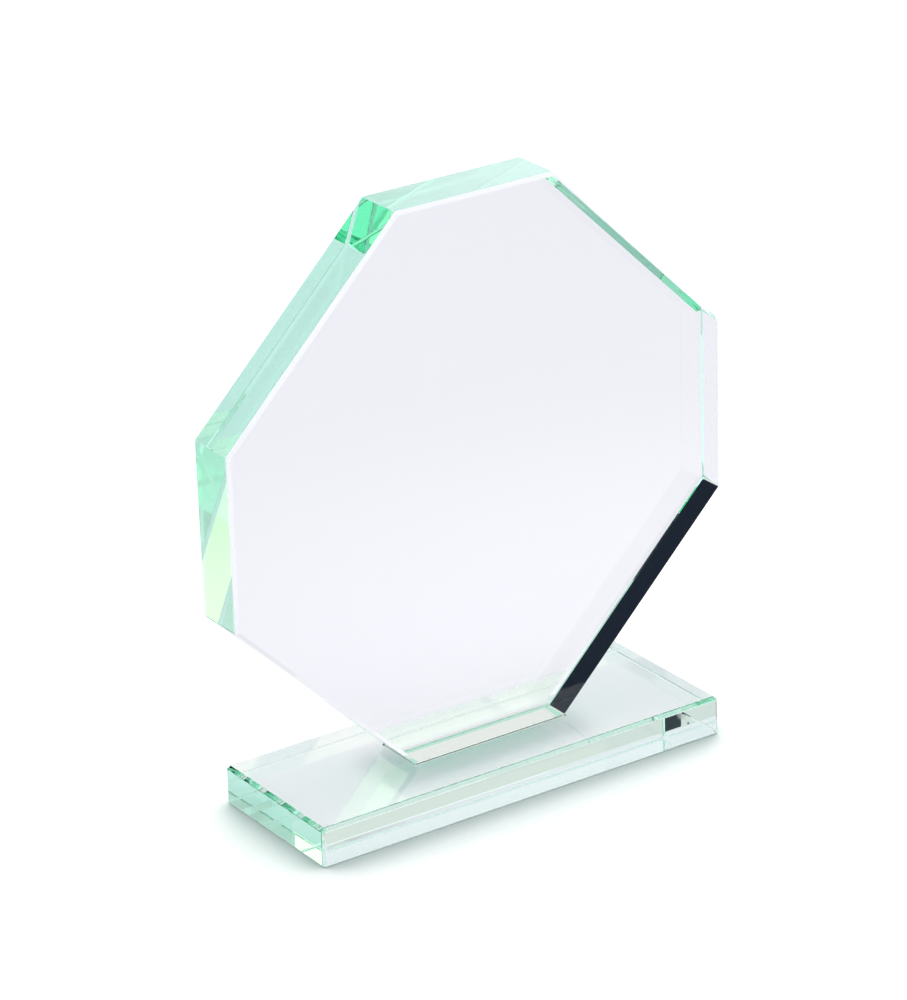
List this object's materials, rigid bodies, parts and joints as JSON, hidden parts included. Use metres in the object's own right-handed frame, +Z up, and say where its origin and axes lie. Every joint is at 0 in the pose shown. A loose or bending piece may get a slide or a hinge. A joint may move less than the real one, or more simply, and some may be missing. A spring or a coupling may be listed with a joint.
{
  "type": "octagonal glass award",
  "caption": "Free-standing award: an upright octagonal plaque of clear, faintly green glass with bevelled faces, glued on a low rectangular glass base.",
  "frame": {"origin": "on the underside of the base, at the centre of its rectangle, where the award rests on a shelf", "axes": "+Z up, +X along the base's length and across the plaque, -Y towards the front of the plaque"},
  "size_m": [0.14, 0.043, 0.1501],
  "materials": {
    "plaque_glass": "polished clear float glass with a faint green tint",
    "base_glass": "polished clear float glass with a faint green tint",
    "clear_adhesive": "clear light-cured acrylic adhesive"
  },
  "bodies": {
    "root": {"plaque": "plaque_glass", "base": "base_glass", "adhesive_bond": "clear_adhesive"}
  },
  "joints": []
}
